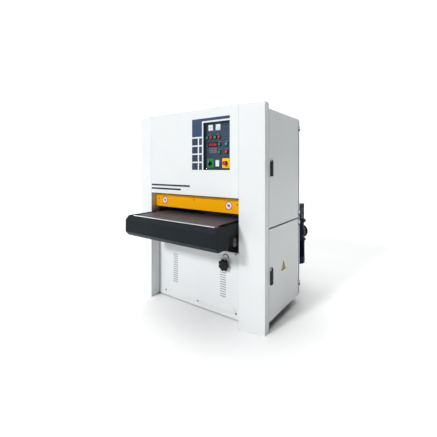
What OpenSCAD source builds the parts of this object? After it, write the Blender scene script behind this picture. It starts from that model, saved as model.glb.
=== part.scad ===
// Wide-belt drum sander with two sanding heads over a rising feed table.
// Millimetres. +Z is up, -Y is the operator's side, and the origin is on the floor,
// at the centre of the four anchor holes.

/* [Body] */
// Width across the two front columns
body_w = 1604; // [1500:4:1900]
// Depth from the front panel to the rear covers
body_d = 859; // [840:1:1100]
// Height of the front columns
body_h = 2000; // [1960:5:2300]
// How far the roof lies under the top of the columns
roof_drop = 45; // [20:1:70]
// Height of the side covers' lower edge above the floor
side_lift = 86; // [80:1:120]
// Thickness of the sheet-metal covers
sheet = 2.5; // [1.5:0.1:4]

/* [Columns] */
// Clear width between the two columns, where the table runs
feed_w = 1140; // [1100:2:1260]
// Depth of a column from its front to the door
column_d = 122; // [110:1:160]
// How far a column's front face slants back towards its outer edge
column_slant = 46; // [0:1:80]

/* [Front panels] */
// Height of the upper front panel's lower edge
upper_panel_z = 1161; // [1100:1:1250]
// Height of the lower front panel's upper edge
lower_panel_top = 633; // [560:1:660]
// Height of the feed guard
guard_h = 134; // [100:1:160]
// Depth of the feed guard behind the front panel
guard_y = 64; // [50:1:80]

/* [Control panel] */
// Width of the control recess
panel_w = 306; // [290:1:340]
// Height of the control recess
panel_h = 453; // [430:1:480]
// Distance of the recess's left edge from the machine's middle
panel_x = 168; // [100:1:200]
// Height of the recess's lower edge
panel_z = 1413; // [1380:1:1450]
// Depth of the control recess
panel_d = 36; // [25:1:45]
// Diameter of a push button
button_d = 28; // [22:1:32]

/* [Feed table] */
// Height of the conveyor's surface, with the table as it stands
table_z = 950; // [930:1:960]
// How far the table stands out in front of the front panel
table_front = 346; // [300:1:420]
// Distance from the front panel back to the drive roller's axis
table_rear = 1180; // [1120:1:1400]
// Gap between the table's side and a column
table_gap = 6; // [4:0.5:12]
// Height of the table's cover
cover_h = 201; // [190:1:215]
// Chamfer along the front cover's edges
cover_chamfer = 40; // [20:1:60]
// Diameter of the conveyor's rollers
roller_d = 100; // [84:1:110]
// Width of the conveyor belt
belt_w = 1010; // [900:2:1012]
// Thickness of the conveyor belt
belt_t = 4; // [3:0.5:5]
// Diameter of the chrome support roller at the table's front
support_d = 46; // [36:1:50]

/* [Sanding heads] */
// Height of the sanding line, at the lowest point of a sanding belt
sanding_z = 1000; // [990:1:1005]
// Diameter of a contact roller
contact_d = 180; // [150:1:184]
// Diameter of a tension roller
tension_d = 120; // [90:1:140]
// Distance between a head's two roller axes
head_l = 714; // [600:1:716]
// Distance of the front head from the front panel
head_front_y = 290; // [288:1:300]
// Distance of the rear head from the front panel
head_rear_y = 650; // [640:1:680]
// Width of a sanding belt
sanding_w = 1020; // [900:2:1020]
// Diameter of a pressure roller
pressure_d = 60; // [50:1:62]

/* [Drive] */
// Height of the sanding motors' shafts
motor_z = 262; // [250:1:280]
// Diameter of a sanding motor
motor_d = 246; // [200:1:250]
// Pitch diameter of a sanding motor's pulley
motor_pulley_d = 180; // [140:1:190]
// Pitch diameter of a contact roller's pulley
head_pulley_d = 150; // [120:1:170]

/* [Lift] */
// Diameter of a lift screw
screw_d = 32; // [26:1:36]
// Diameter of the lobed handwheel
handwheel_d = 104; // [90:1:120]

/* [Dust outlets] */
// Outside diameter of a dust outlet
outlet_d = 150; // [120:1:160]
// Length of a dust outlet above the roof
outlet_h = 100; // [80:1:105]

/* [Hidden] */
$fn = 64;
run_gap = 0.05;    // radial clearance of a shaft in its bore
ride_gap = 0.3;    // clearance of a belt over its rollers
seat_gap = 0.3;    // clearance of a cover on what carries it
seam = 1.5;        // gap between neighbouring covers

front_y = -body_d / 2;            // the front panel's face
rear_y = body_d / 2;              // the rear covers' face
feed_x = feed_w / 2;              // the columns' inner faces
body_x = body_w / 2;              // the columns' outer faces
side_x = body_x + 3;              // the side covers' outer faces
roof_z = body_h - roof_drop;
side_y = front_y + column_d + seam;   // the side covers' front edges

// Frame members
pad_t = 15;
pad_w = 126;
rail_h = side_lift - 1 - pad_t;
post_w = 60;
post_x = feed_x + 5;              // the posts' inner faces
post_back = post_x + 80;          // the posts' outer faces
post_front_y = front_y + column_d + 8;
post_rear_y = rear_y - sheet - post_w;
roof_beam_z = roof_z - 4 - post_w;
anchor_x = 690;
anchor_y = 238;
anchor_r = 9;

// Doors, measured from the floor
door_pan = 20;
split_z = 900;                    // the middle of the gap between the upper and lower doors
split_gap = 15;
upper_door_z = split_z + split_gap / 2;
lower_door_top = split_z - split_gap / 2;
hinge_d = 15;
hinge_x = side_x + hinge_d / 2 + 1;
hinge_y = rear_y - 25;
door_end_y = hinge_y - 9;
hinge_l = 50;
upper_hinges = [upper_door_z + 20, roof_z - 125];
lower_hinges = [side_lift + 100, lower_door_top - 20 - hinge_l];
handle_l = 146;
handle_w = 40;
handle_y = side_y + 16;
upper_handle_z = 1358;
lower_handle_z = 406;

// Feed table
table_x = feed_x - table_gap;     // the table's outer sides
table_front_y = front_y - table_front;
roller_z = table_z - belt_t - roller_d / 2;
drive_y = front_y + table_rear;
idler_y = table_front_y + 54 + support_d + roller_d / 2;
support_y = table_front_y + 46 + support_d / 2;
support_z = table_z - support_d / 2;
table_wall = 3;
beam_t = 40;                      // thickness of a table side beam
beam_x = table_x - table_wall - seat_gap;
beam_end_y = drive_y + 62;
beam_z = table_z - 180;           // the table beams' lower faces
beam_h = 168;
shaft_r = 15;
bed_t = 12;
cross_z = roller_z - roller_d / 2 - belt_t - 14;

// Table drive, stacked down from the gearbox
gear_x = 662;
gear_w = 120;
gear_bottom = roller_z - 72;
gear_h = 184;
variator_h = 214;
variator_z = gear_bottom - 26 - variator_h;
variator_r = 78;
table_motor_z = variator_z - 270;
table_motor_r = 84;
knob_z = variator_z + 80;
knob_y = drive_y + variator_r + 46;

// Heads
contact_z = sanding_z + contact_d / 2 + 1.2;
tension_z = contact_z + head_l;
belt_skin = 1.2;
shaft_d = 50;
head_beam_w = 84;
head_beam_z = contact_z + contact_d / 2 + 45;
head_beam_h = 170;
bracket_x = 526;
bracket_t = 40;
pulley_x = 745;                   // outer face of the pulleys
pulley_w = 58;
pressure_front_y = head_front_y - 115;
pressure_rear_y = head_rear_y + 142;
pressure_z = sanding_z - 1.5 + pressure_d / 2;
pressure_shaft_r = 12;
yoke_t = 22;
yoke_z = tension_z - tension_d / 2 - 36;
rod_r = 20;

// Motors
motor_front_y = head_front_y;
motor_rear_y = head_rear_y;
motor_l = 420;
motor_bed_t = 12;
motor_x = -post_x + 125;          // drive end of the motors, clear of the lift screws

// Lift
jack_x = 480;
jack_front_y = 185;
jack_rear_y = 790;
jack_z = 466;
jack_h = 74;
jack_r = 44;
low_beam_z = jack_z - 66;
sprocket_r = 34;
chain_z = jack_z - 18;
screw_top = beam_z;
screw_bottom = jack_z - 62;
wheel_x = 345;
wheel_z = 505;
wheel_y = front_y + column_d - 46;

// Dust ducts
duct_x = 220;
duct_y = (head_front_y + head_rear_y) / 2;
hood_w = 940;
hood_t = 66;
duct_flange = 9;                  // how far an outlet's flange reaches out over the roof
duct_flange_t = 6;

// Mains inlet
gland_x = -715;
gland_z = 300;
gland_r = 12;

// Control layout, from the recess's lower left corner
face_y = front_y + panel_d;
start_row = 311;
button_places = [[26, start_row], [73, start_row], [120, start_row], [167, start_row],
                 [170, 242], [250, 242], [170, 169], [250, 169]];
button_colours = ["green", "red", "green", "red", "green", "teal", "green", "red"];
switch_place = [59, 63];
stop_place = [240, 63];
plate_w = 80;
plate_h = 90;
button_travel = 4;
stop_travel = 6;

button_names = ["front_head_start", "front_head_stop", "rear_head_start", "rear_head_stop",
                "table_up", "table_down", "feed_start", "feed_stop"];

// ---- Shared shapes ----

// A block between two corners
module block(a, b) {
    translate(a) cube([for (i = [0:2]) b[i] - a[i]]);
}

// Round bars along each axis, from one coordinate to another
module bar_x(r, x0, x1, y, z) {
    translate([x0, y, z]) rotate([0, 90, 0]) cylinder(r = r, h = x1 - x0);
}
module bar_y(r, x, y0, y1, z) {
    translate([x, y0, z]) rotate([-90, 0, 0]) cylinder(r = r, h = y1 - y0);
}
module bar_z(r, x, y, z0, z1) {
    translate([x, y, z0]) cylinder(r = r, h = z1 - z0);
}

// A loop of belt round two wheels, the second one d above the first, extruded along its width
module band(r1, r2, d, thickness, width) {
    linear_extrude(width) difference() {
        polygon(belt_points(r1 + thickness, r2 + thickness, d));
        polygon(belt_points(r1, r2, d));
    }
}
// The belt's outline: an arc on each wheel, joined by the tangents. a is the tangents' lean.
function belt_points(r1, r2, d) = let (a = asin((r1 - r2) / d), n = belt_steps) concat(
    [for (i = [0:n]) r1 * polar(180 - a + i * (180 + 2 * a) / n)],
    [for (i = [0:n]) [0, d] + r2 * polar(a + i * (180 - 2 * a) / n)]);
function polar(angle) = [cos(angle), sin(angle)];
belt_steps = 32;                  // flats on each of a belt's arcs

// A shallow tray from corner a to corner b, open at one side: its skin is towards +X, or -X if skin_at < 0
module pan_x(a, b, skin_at) {
    difference() {
        block(a, b);
        x0 = skin_at > 0 ? a[0] - 1 : a[0] + sheet;
        x1 = skin_at > 0 ? b[0] - sheet : b[0] + 1;
        block([x0, a[1] + sheet, a[2] + sheet], [x1, b[1] - sheet, b[2] - sheet]);
    }
}

// ---- Frame ----

module base_frame() {
    color("dimgray") {
        for (s = [-1, 1]) {
            x0 = s > 0 ? feed_x - 20 : -feed_x - 75;
            block([x0, post_front_y, pad_t], [x0 + 95, post_rear_y + post_w, pad_t + rail_h]);
        }
        for (y = [post_front_y, post_rear_y - 20])
            block([-feed_x, y, pad_t], [feed_x, y + 80, pad_t + rail_h]);
        for (m = [motor_front_y, motor_rear_y])
            block([-feed_x, front_y + m - 105, pad_t + rail_h - 1],
                  [-30, front_y + m + 105, pad_t + rail_h + motor_bed_t]);
        // the foot plates, each with an anchor hole
        for (s = [-1, 1], y = [-anchor_y, anchor_y]) difference() {
            x0 = s > 0 ? feed_x - 10 : -anchor_x - 40;
            block([x0, y - pad_w / 2, 0], [x0 + anchor_x - feed_x + 50, y + pad_w / 2, pad_t + 0.5]);
            bar_z(anchor_r, s * anchor_x, y, -1, pad_t + 1);
        }
    }
}

module upper_frame() {
    color("silver") difference() {
        union() {
            for (s = [-1, 1], y = [post_front_y, post_rear_y]) {
                x0 = s > 0 ? post_x : -post_back;
                block([x0, y, pad_t + rail_h], [x0 + 80, y + post_w, roof_beam_z + post_w]);
            }
            for (s = [-1, 1]) {
                x0 = s > 0 ? post_x : -post_back;
                for (z = [lower_panel_top - 60, roof_beam_z])
                    block([x0, post_front_y, z], [x0 + 80, post_rear_y + post_w, z + post_w]);
                // the liner that closes the feed tunnel's side, under the sanding line
                l0 = s > 0 ? feed_x + 1 : -post_x;
                block([l0, post_front_y, lower_panel_top - 60],
                      [l0 + 4, post_rear_y + post_w, sanding_z - 30]);
                // the ears that carry the pressure rollers
                e0 = s > 0 ? post_x - 1 : -post_x - 11;
                for (y = [pressure_front_y, pressure_rear_y])
                    block([e0, front_y + y - 24, sanding_z - 31],
                          [e0 + 12, front_y + y + 24, pressure_z + 40]);
                block([e0, post_front_y + 2, pressure_z + 20],
                      [e0 + 12, front_y + pressure_front_y + 24, pressure_z + 40]);
                block([e0, front_y + pressure_rear_y - 24, pressure_z + 20],
                      [e0 + 12, post_rear_y + 2, pressure_z + 40]);
            }
            // the wall that the sanding heads hang from
            block([-post_x - 15, post_front_y + 1, contact_z - 60],
                  [-post_x, post_rear_y + 1, roof_beam_z + 1]);
            for (y = [post_front_y, post_rear_y])
                block([-post_x - 1, y, roof_beam_z], [post_x + 1, y + post_w, roof_beam_z + post_w]);
            block([-post_x - 1, post_front_y, low_beam_z], [post_x + 1, post_front_y + 36, low_beam_z + 40]);
        }
        for (y = [head_front_y, head_rear_y])
            bar_x(38, -post_x - 16, -post_x + 1, front_y + y, contact_z);
        for (y = [pressure_front_y, pressure_rear_y])
            bar_x(pressure_shaft_r + run_gap, -post_x - 20, post_x + 20, front_y + y, pressure_z);
    }
}

// ---- Covers ----

// A column cover's plan outline, for the right column, seen from above, inset by t
module column_plan(t) {
    polygon([[feed_x + t, t], [body_x - t, column_slant + t],
             [body_x - t, column_d - t], [feed_x + t, column_d - t]]);
}

// A column cover: a folded box, open behind, with the brackets that hold it to the post
module column_cover() {
    translate([0, front_y, 0]) {
        difference() {
            linear_extrude(body_h) column_plan(0);
            translate([0, 0, sheet]) linear_extrude(body_h - 2 * sheet) column_plan(sheet);
            block([post_back + 10, column_d - sheet - 1, 30], [body_x - 20, column_d + 1, body_h - 30]);
        }
        for (z = [200, body_h / 2 - 120, body_h - 250])
            block([post_x + 10, column_d - 1, z], [post_back - 10, column_d + 8, z + 40]);
    }
}

module guard_pin_hole(s) {
    x0 = s > 0 ? feed_x - 1 : -feed_x - sheet - 1;
    bar_x(6 + run_gap, x0, x0 + sheet + 2, front_y + guard_y + 8, guard_top - 10);
}

module right_column_cover() {
    color("white") difference() {
        column_cover();
        guard_pin_hole(1);
    }
}
module left_column_cover() {
    color("white") difference() {
        mirror([1, 0, 0]) column_cover();
        guard_pin_hole(-1);
    }
}

upper_panel_d = 60;
module upper_front_panel() {
    a = [-feed_x + seam, front_y, upper_panel_z];
    b = [feed_x - seam, front_y + upper_panel_d, body_h];
    color("white") difference() {
        block(a, b);
        block([a[0] + sheet, a[1] + sheet, a[2] + sheet], [b[0] - sheet, b[1] + 1, b[2] - sheet]);
        block([panel_x, front_y - 1, panel_z], [panel_x + panel_w, front_y + sheet + 1, panel_z + panel_h]);
    }
    // the brackets that hold it to the frame's front beam
    color("gray") for (x = [-520, 0, 520])
        block([x - 20, front_y + 1, roof_beam_z + 5], [x + 20, post_front_y, roof_z - 5]);
}

// A strip of staggered holes, for a vent in the lower panel
module vent_holes() {
    for (i = [0:vent_columns - 1], j = [0:vent_rows - 1])
        translate([(i + (j % 2) / 2) * vent_pitch, j * vent_pitch * 1.35]) circle(d = 9, $fn = 6);
}
vent_columns = 4;
vent_rows = 14;
vent_pitch = 17;
vent_x = 285;
vent_z = 190;
lower_screws = [[-465, 62], [0, 62], [465, 62], [-465, lower_panel_top - 13], [465, lower_panel_top - 13]];

module lower_front_panel() {
    y0 = front_y + column_d;
    color("white") difference() {
        translate([0, y0 + sheet, 0]) rotate([90, 0, 0]) linear_extrude(sheet) difference() {
            translate([-feed_x + seam, 8]) square([feed_w - 2 * seam, lower_panel_top - 8]);
            translate([-vent_x - (vent_columns - 0.5) * vent_pitch, vent_z]) vent_holes();
            translate([vent_x, vent_z]) vent_holes();
            for (p = lower_screws) translate(p) circle(r = 4.2);
            translate([wheel_x, wheel_z]) circle(r = 14);
        }
    }
}

module feed_guard() {
    z1 = guard_top;
    y0 = front_y + guard_y;
    color("orange") {
            block([-feed_x + 3, y0, z1 - guard_h], [feed_x - 3, y0 + 3, z1]);
            block([-feed_x + 3, y0, z1 - guard_h], [feed_x - 3, y0 + guard_foot, z1 - guard_h + 3]);
            block([-feed_x + 3, y0, z1 - 3], [feed_x - 3, y0 + 16, z1]);
            for (s = [-1, 1]) {
                x0 = s > 0 ? feed_x - 23 : -feed_x - sheet - 6;
                bar_x(6, x0, x0 + 29 + sheet, y0 + 8, z1 - 10);
                e0 = s > 0 ? feed_x - 9 : -feed_x + 3;
                block([e0, y0, z1 - 22], [e0 + 6, y0 + 16, z1]);
            }
    }
}
guard_top = upper_panel_z - 16;
guard_foot = 50;                  // depth of the guard's lower flange, which sets how it hangs

module top_cover() {
    color("gainsboro") difference() {
        union() {
            block([-side_x + sheet + 1, side_y, roof_z - 4], [side_x - door_pan - seam, rear_y - sheet, roof_z]);
            // the tongue between the columns, up to the back of the front panel
            block([-feed_x + seam, front_y + upper_panel_d + seam, roof_z - 4], [feed_x - seam, side_y + 1, roof_z]);
        }
        for (x = [-duct_x, duct_x])
            bar_z(outlet_d / 2 + seat_gap, x, front_y + duct_y, roof_z - 5, roof_z + 1);
    }
}

// A dust duct: a flat hood behind or before a contact roller, a box over it, and a round outlet on the roof
module dust_duct(x, hood_y) {
    y = front_y + duct_y;
    hood = front_y + hood_y;
    r = outlet_d / 2;
    low = contact_z + 30;
    mid = roof_beam_z - 190;
    top = roof_z - 5;
    difference() {
        union() {
            block([-hood_w / 2, hood - hood_t / 2, low], [hood_w / 2, hood + hood_t / 2, mid]);
            block([x - r - 8, y - r, mid - 3], [x + r + 8, y + r, top]);
            bar_z(r - 1, x, y, top - 0.01, roof_z + 1);
            bar_z(r + duct_flange, x, y, roof_z, roof_z + duct_flange_t);
            bar_z(r, x, y, roof_z + duct_flange_t - 0.01, roof_z + outlet_h);
        }
        block([-hood_w / 2 + sheet, hood - hood_t / 2 + sheet, low - 1],
              [hood_w / 2 - sheet, hood + hood_t / 2 - sheet, mid - sheet]);
        block([x - r - 8 + sheet, hood - hood_t / 2 + sheet, mid - sheet - 1],
              [x + r + 8 - sheet, hood + hood_t / 2 - sheet, mid + 1]);
        block([x - r - 8 + sheet, y - r + sheet, mid], [x + r + 8 - sheet, y + r - sheet, top - sheet]);
        bar_z(r - sheet, x, y, top - sheet - 1, roof_z + outlet_h + 1);
    }
}
module dust_ducts() {
    color("gainsboro") {
        dust_duct(-duct_x, duct_y - hood_t / 2 - 5);
        dust_duct(duct_x, duct_y + hood_t / 2 + 5);
    }
}

module rear_covers() {
    color("white") {
        block([-side_x, rear_y - sheet, upper_panel_z + seam], [side_x, rear_y, roof_z]);
        difference() {
            block([-side_x, rear_y - sheet, side_lift], [side_x, rear_y, upper_panel_z]);
            block([-feed_x, rear_y - sheet - 1, lower_panel_top], [feed_x, rear_y + 1, upper_panel_z + 1]);
            bar_y(gland_r + 6, gland_x, rear_y - 5, rear_y + 1, gland_z);
        }
        // the corner strips that the hinges stand on
        for (s = [-1, 1]) {
            x0 = s > 0 ? side_x - sheet : -side_x;
            block([x0, hinge_y + 9, side_lift], [x0 + sheet, rear_y - sheet + 0.01, upper_panel_z]);
            block([x0, hinge_y + 9, upper_panel_z + seam], [x0 + sheet, rear_y - sheet + 0.01, roof_z]);
        }
    }
}

module cable_gland() {
    color("black") difference() {
        union() {
            bar_y(gland_r + 6 - 0.3, gland_x, rear_y - sheet - 12, rear_y + 0.01, gland_z);
            translate([gland_x, rear_y, gland_z]) rotate([-90, 0, 0])
                cylinder(r = gland_r + 12, h = 12, $fn = 6);
            bar_y(gland_r + 5, gland_x, rear_y + 11.99, rear_y + 22, gland_z);
        }
        bar_y(gland_r, gland_x, rear_y - sheet - 13, rear_y + 23, gland_z);
    }
}

module left_side_covers() {
    color("white") {
        pan_x([-side_x, side_y, side_lift], [-side_x + door_pan, hinge_y + 8, lower_door_top], -1);
        pan_x([-side_x, side_y, upper_door_z], [-side_x + door_pan, hinge_y + 8, roof_z - 5], -1);
        // the stand-offs that reach the posts
        for (z = cover_fix_z, y = cover_fix_y) bar_x(11, -side_x + 1, -post_back, y, z);
    }
}
cover_fix_y = [post_front_y + 30, post_rear_y + 25];
cover_fix_z = [side_lift + 60, lower_door_top - 60, upper_door_z + 60, roof_z - 65];

// The right-hand doors, with the hinge knuckles and handle lugs that turn with them
module door(z0, z1, hinges, handle_z) {
    difference() {
        union() {
            pan_x([side_x - door_pan, side_y, z0], [side_x, door_end_y, z1], 1);
            for (z = hinges) {
                block([side_x - 1, door_end_y - 30, z + 16], [side_x + 3, hinge_y, z + hinge_l]);
                bar_z(hinge_d / 2, hinge_x, hinge_y, z + 16, z + hinge_l);
            }
            for (s = [0, 1])
                block([side_x - 1, handle_y + s * (handle_w + 6.4) - 6.2, handle_z + handle_l - 16],
                      [side_x + 12, handle_y + s * (handle_w + 6.4), handle_z + handle_l]);
        }
        for (z = hinges) bar_z(4 + run_gap, hinge_x, hinge_y, z - 1, z + hinge_l + 1);
        bar_y(3 + run_gap, side_x + 7, handle_y - 8, handle_y + handle_w + 8, handle_z + handle_l - 8);
    }
}
module right_upper_door() {
    color("white") door(upper_door_z, roof_z - 5, upper_hinges, upper_handle_z);
}
module right_lower_door() {
    color("white") door(side_lift, lower_door_top, lower_hinges, lower_handle_z);
}

module door_handle(z) {
    x0 = side_x + 1;
    color("black") {
        block([x0, handle_y + 0.2, z], [x0 + 12, handle_y + handle_w, z + handle_l - 18]);
        block([x0 + 3, handle_y + 0.2, z], [x0 + 10, handle_y + handle_w, z + handle_l - 4]);
        bar_y(3, side_x + 7, handle_y - 6.2, handle_y + handle_w + 6.4, z + handle_l - 8);
    }
}
module upper_door_handle() { door_handle(upper_handle_z); }
module lower_door_handle() { door_handle(lower_handle_z); }

module door_hinges() {
    color("black") for (z = concat(upper_hinges, lower_hinges)) {
        block([side_x, hinge_y - 3, z], [side_x + 3, rear_y - 2, z + 15.7]);
        bar_z(hinge_d / 2, hinge_x, hinge_y, z, z + 15.7);
        bar_z(4, hinge_x, hinge_y, z, z + hinge_l);
    }
}

module cover_screws() {
    color("black") {
        for (p = lower_screws) {
            bar_y(8, p[0], front_y + column_d - 3, front_y + column_d, p[1]);
            bar_y(4, p[0], front_y + column_d - 0.5, post_front_y - 0.5, p[1]);
        }
        for (z = cover_fix_z, y = cover_fix_y) bar_x(8, -side_x - 3, -side_x, y, z);
    }
}

// ---- Control panel ----

function place(p) = [panel_x + p[0], panel_z + p[1]];

module control_panel() {
    x1 = panel_x + panel_w;
    z1 = panel_z + panel_h;
    color("darkslategray") difference() {
        block([panel_x + 0.5, front_y - 0.8, panel_z + 0.5], [x1 - 0.5, face_y + 70, z1 - 0.5]);
        block([panel_x + 3, front_y - 2, panel_z + 3], [x1 - 3, face_y, z1 - 3]);
        block([panel_x + 3, face_y + 3, panel_z + 3], [x1 - 3, face_y + 71, z1 - 3]);
        for (p = button_places)
            bar_y(7 + run_gap, place(p)[0], face_y - 1, face_y + 4, place(p)[1]);
        bar_y(7 + run_gap, place(stop_place)[0], face_y - 1, face_y + 4, place(stop_place)[1]);
        bar_y(4 + run_gap, place(switch_place)[0], face_y - 1, face_y + 4, place(switch_place)[1]);
    }
}

meter_places = [[66, 405, 54, 54], [154, 405, 54, 54], [146, 63, 42, 60],
    [91, 242, 112, 38], [91, 186, 94, 60]];

module panel_meters() {
    color("whitesmoke") {
        for (m = meter_places)
            block([panel_x + m[0] - m[2] / 2, face_y - 9, panel_z + m[1] - m[3] / 2],
                  [panel_x + m[0] + m[2] / 2, face_y, panel_z + m[1] + m[3] / 2]);
        // the coloured plates behind the switch and the emergency stop
        for (p = [switch_place, stop_place]) difference() {
            block([place(p)[0] - plate_w / 2, face_y - 2.5, place(p)[1] - plate_h / 2],
                  [place(p)[0] + plate_w / 2, face_y, place(p)[1] + plate_h / 2]);
            bar_y(12, place(p)[0], face_y - 4, face_y + 1, place(p)[1]);
        }
        // the rings round the push buttons
        for (p = button_places) difference() {
            bar_y(button_d / 2 + 4, place(p)[0], face_y - 6, face_y, place(p)[1]);
            bar_y(button_d / 2 + 0.4, place(p)[0], face_y - 7, face_y + 1, place(p)[1]);
        }
    }
}

module push_button(i) {
    p = place(button_places[i]);
    color(button_colours[i]) {
        bar_y(button_d / 2, p[0], face_y - 15, face_y - button_travel - 1, p[1]);
        bar_y(7, p[0], face_y - 6, face_y + 14, p[1]);
        bar_y(9, p[0], face_y + 8, face_y + 14, p[1]);
    }
}

module emergency_stop() {
    p = place(stop_place);
    color("red") {
        bar_y(22, p[0], face_y - 36, face_y - 24, p[1]);
        translate([p[0], face_y - 24.01, p[1]]) rotate([-90, 0, 0]) cylinder(r1 = 22, r2 = 11, h = 8);
        bar_y(11, p[0], face_y - 17, face_y - stop_travel - 3, p[1]);
        bar_y(7, p[0], face_y - 10, face_y + 16, p[1]);
        bar_y(10, p[0], face_y + 10, face_y + 16, p[1]);
    }
}

module rotary_switch() {
    p = place(switch_place);
    color("black") {
        bar_y(19, p[0], face_y - 16, face_y - 3, p[1]);
        block([p[0] - 5, face_y - 30, p[1] - 24], [p[0] + 5, face_y - 12, p[1] + 24]);
        bar_y(4, p[0], face_y - 4, face_y + 16, p[1]);
        bar_y(10, p[0], face_y + 10, face_y + 16, p[1]);
    }
}

// ---- Feed table ----

// The front cover's side outline, in Y and Z
module cover_side(t, back) {
    c = cover_chamfer;
    top = table_z - 1;
    low = top - cover_h;
    polygon([[table_front_y + t, low + c + t / 2], [table_front_y + t, top - c - t / 2],
             [table_front_y + c + t / 2, top - t], [back, top - t],
             [back, low + t], [table_front_y + c + t / 2, low + t]]);
}

module table_cover() {
    wing_end = front_y + guard_y;
    lip_end = table_front_y + cover_chamfer + 2;
    color("darkslategray") difference() {
        translate([-table_x, 0, 0]) rotate([90, 0, 90]) linear_extrude(2 * table_x) cover_side(0, wing_end);
        translate([-table_x + table_wall, 0, 0]) rotate([90, 0, 90])
            linear_extrude(2 * (table_x - table_wall)) cover_side(table_wall, wing_end + 1);
        block([-table_x + table_wall, lip_end, table_z - 30], [table_x - table_wall, wing_end + 1, table_z + 5]);
        block([-table_x + table_wall, lip_end, table_z - cover_h - 5],
              [table_x - table_wall, wing_end + 1, table_z - cover_h + 20]);
        // the window over each belt-tension screw
        block([-table_x - 1, idler_y + 46, table_z - cover_h - 2],
              [table_x + 1, wing_end - 45, table_z - cover_h + 102]);
    }
}

module table_frame() {
    color("gray") difference() {
        union() {
            for (s = [-1, 1]) {
                x0 = s > 0 ? beam_x - beam_t : -beam_x;
                block([x0, table_front_y + 44, beam_z], [x0 + beam_t, beam_end_y, beam_z + beam_h]);
            }
            // upper cross-members inside the belt loop, and the bed that the belt slides on
            for (y = [idler_y + 110, front_y + 250, front_y + 610, drive_y - 170])
                block([-beam_x + beam_t - 1, y, cross_z + 40],
                      [beam_x - beam_t + 1, y + 60, table_z - belt_t - bed_t]);
            block([-beam_x + beam_t - 1, idler_y + 62, table_z - belt_t - bed_t - ride_gap],
                  [beam_x - beam_t + 1, drive_y - 62, table_z - belt_t - ride_gap]);
            // lower cross-members over the lift screws
            for (y = [jack_front_y, jack_rear_y])
                block([-beam_x + 1, front_y + y - 35, beam_z], [beam_x - 1, front_y + y + 35, cross_z - 6]);
        }
        for (y = [idler_y, drive_y]) bar_x(shaft_r + run_gap, -beam_x - 1, beam_x + 1, y, roller_z);
        bar_x(8 + run_gap, -beam_x - 1, beam_x + 1, support_y, support_z);
    }
}

module conveyor_belt() {
    color("dimgray") translate([-belt_w / 2, idler_y, roller_z]) rotate([90, 0, 90]) rotate(-90)
        band(roller_d / 2 + ride_gap, roller_d / 2 + ride_gap, drive_y - idler_y, belt_t - ride_gap, belt_w);
}

// A table roller with its journals
module table_roller(y, x0, x1) {
    bar_x(roller_d / 2, -belt_w / 2 - 3, belt_w / 2 + 3, y, roller_z);
    bar_x(shaft_r, x0, x1, y, roller_z);
}
module idler_roller() {
    color("silver") table_roller(idler_y, -beam_x + 2, beam_x - 2);
}
module drive_roller() {
    color("silver") table_roller(drive_y, -beam_x + 2, gear_x + gear_w / 2 - 8);
}
module support_roller() {
    color("silver") {
        bar_x(support_d / 2, -beam_x + beam_t + 3, beam_x - beam_t - 3, support_y, support_z);
        bar_x(8, -beam_x + 4, beam_x - 4, support_y, support_z);
    }
}

// ---- Table drive ----

module worm_gearbox() {
    x0 = gear_x - gear_w / 2;
    color("black") difference() {
        union() {
            block([x0, drive_y - 65, gear_bottom], [x0 + gear_w, drive_y + 65, gear_bottom + gear_h]);
            bar_x(52, x0 - 12, x0 + gear_w + 6, drive_y, roller_z);
            bar_z(variator_r + 19, gear_x, drive_y, gear_bottom - 14, gear_bottom + 1);
            // the arm that holds the gearbox to the table beam
            block([beam_x + seat_gap, drive_y - 30, roller_z - 60], [x0 + 1, drive_y + 30, roller_z + 60]);
        }
        bar_x(shaft_r + run_gap, beam_x, x0 + gear_w + 7, drive_y, roller_z);
        for (i = [0:6])
            block([x0 + gear_w - 6, drive_y - 55 + i * 16, gear_bottom + 130],
                  [x0 + gear_w + 1, drive_y - 47 + i * 16, gear_bottom + gear_h + 1]);
    }
}

module speed_variator() {
    color("midnightblue") difference() {
        union() {
            bar_z(variator_r + 19, gear_x, drive_y, gear_bottom - 26, gear_bottom - 14.01);
            bar_z(variator_r, gear_x, drive_y, variator_z + 12, gear_bottom - 25);
            bar_z(variator_r + 14, gear_x, drive_y, variator_z + 60, variator_z + 130);
            bar_z(variator_r + 18, gear_x, drive_y, variator_z, variator_z + 13);
            bar_y(20, gear_x, drive_y + variator_r - 20, knob_y - 18, knob_z);
        }
        bar_y(7 + run_gap, gear_x, drive_y + variator_r - 10, knob_y, knob_z);
    }
}

module variator_handwheel() {
    color("black") {
        rotate_about_y(gear_x, knob_y, knob_z) rotate_extrude()
            translate([72, 0]) circle(r = 11, $fn = 32);
        bar_y(24, gear_x, knob_y - 16, knob_y + 8, knob_z);
        bar_y(72, gear_x, knob_y - 3, knob_y + 3, knob_z);
        bar_y(7, gear_x, drive_y + variator_r - 8, knob_y, knob_z);
    }
}
module rotate_about_y(x, y, z) {
    translate([x, y, z]) rotate([-90, 0, 0]) children();
}

// A finned motor body along +Z from the drive end, r is over the fins
module motor_body(r, l, fins) {
    cylinder(r = r * 0.98, h = l * 0.14);
    translate([0, 0, l * 0.13]) cylinder(r = r * 0.86, h = l * 0.6);
    for (i = [0:fins - 1]) rotate(i * 360 / fins)
        translate([r * 0.7, -2, l * 0.13]) cube([r * 0.28, 4, l * 0.59]);
    translate([0, 0, l * 0.71]) cylinder(r = r, h = l * 0.29);
}

module conveyor_motor() {
    l = variator_z - table_motor_z;
    color("midnightblue") translate([gear_x, drive_y, variator_z - 0.01]) {
        mirror([0, 0, 1]) motor_body(table_motor_r, l, 24);
        translate([-52, -table_motor_r - 28, -l * 0.6]) cube([104, 50, 96]);
    }
}

// ---- Lift ----

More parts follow.
